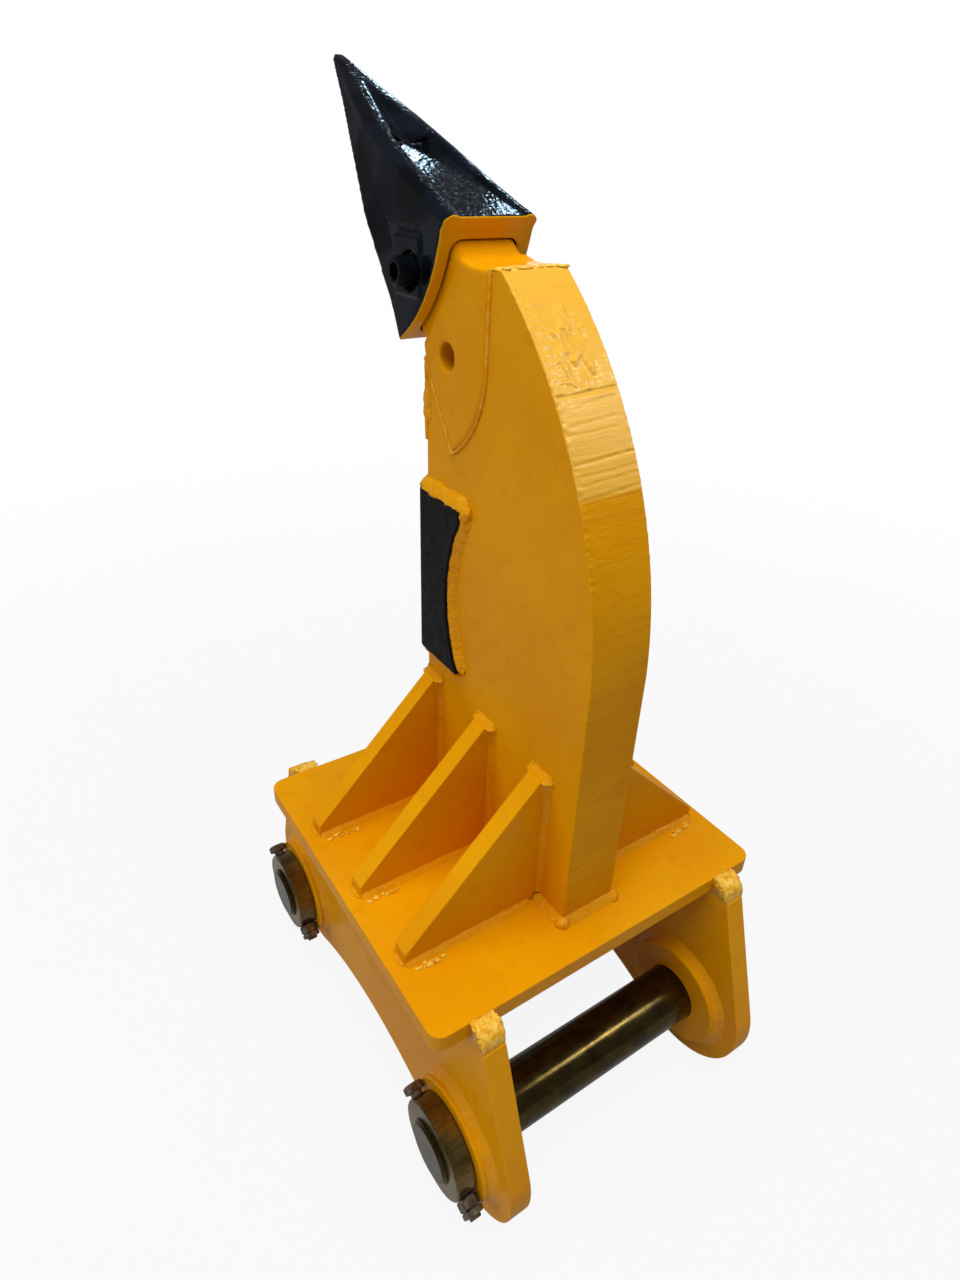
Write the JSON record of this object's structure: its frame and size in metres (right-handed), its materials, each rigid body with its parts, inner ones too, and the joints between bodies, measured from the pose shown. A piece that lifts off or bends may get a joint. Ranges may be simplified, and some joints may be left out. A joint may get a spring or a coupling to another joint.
{
  "type": "excavator ripper shank",
  "caption": "Pin-on ripper: curved shank with a bolted-on pointed tooth and a welded guard, gusseted on a base plate with two ear plates and two collared pins.",
  "frame": {"origin": "midway between the axes of the two mounting pins, in the middle of the gap between the ear plates", "axes": "+X along the mounting pins, +Y towards the side the tooth points to, +Z from the ears up to the tooth"},
  "size_m": [0.517, 0.758, 1.2703],
  "materials": {
    "yellow_paint": "glossy orange-yellow enamel over rough flame-cut and welded steel",
    "black_forging": "gloss black paint over a forged surface",
    "black_guard": "satin black paint over a casting",
    "olive_steel": "turned steel with a dull olive coat",
    "zinc_steel": "dull plated steel"
  },
  "bodies": {
    "frame": {"adapter_weld": "yellow_paint", "base_plate": "yellow_paint", "ear_plate_left": "yellow_paint", "ear_plate_right": "yellow_paint", "ear_welds": "yellow_paint", "guard_weld": "yellow_paint", "gusset_left_front": "yellow_paint", "gusset_left_middle": "yellow_paint", "gusset_left_rear": "yellow_paint", "gusset_right_front": "yellow_paint", "gusset_right_middle": "yellow_paint", "gusset_right_rear": "yellow_paint", "gusset_welds_left": "yellow_paint", "gusset_welds_right": "yellow_paint", "link_ring_left_inner": "yellow_paint", "link_ring_left_outer": "yellow_paint", "link_ring_right_inner": "yellow_paint", "link_ring_right_outer": "yellow_paint", "nose_adapter": "yellow_paint", "ring_welds": "yellow_paint", "shank": "yellow_paint", "shank_guard": "black_guard", "shank_weld": "yellow_paint", "stick_ring_left_inner": "yellow_paint", "stick_ring_left_outer": "yellow_paint", "stick_ring_right_inner": "yellow_paint", "stick_ring_right_outer": "yellow_paint", "tooth_pin": "black_forging", "tooth_pin_retainer": "black_forging", "tooth_point": "black_forging"},
    "stick_pin_set": {"stick_pin": "olive_steel", "stick_collar_left": "olive_steel", "stick_collar_right": "olive_steel", "stick_bolts": "zinc_steel", "stick_nuts": "zinc_steel"},
    "link_pin_set": {"link_pin": "olive_steel", "link_collar_left": "olive_steel", "link_collar_right": "olive_steel", "link_bolts": "zinc_steel", "link_nuts": "zinc_steel"}
  },
  "joints": [
    {"name": "stick_pin_turn", "type": "hinge", "parent": "frame", "child": "stick_pin_set", "pos_m": [0, 0.24, 0], "axis": [1, 0, 0], "continuous": true},
    {"name": "link_pin_turn", "type": "hinge", "parent": "frame", "child": "link_pin_set", "pos_m": [0, -0.24, 0], "axis": [1, 0, 0], "continuous": true}
  ]
}
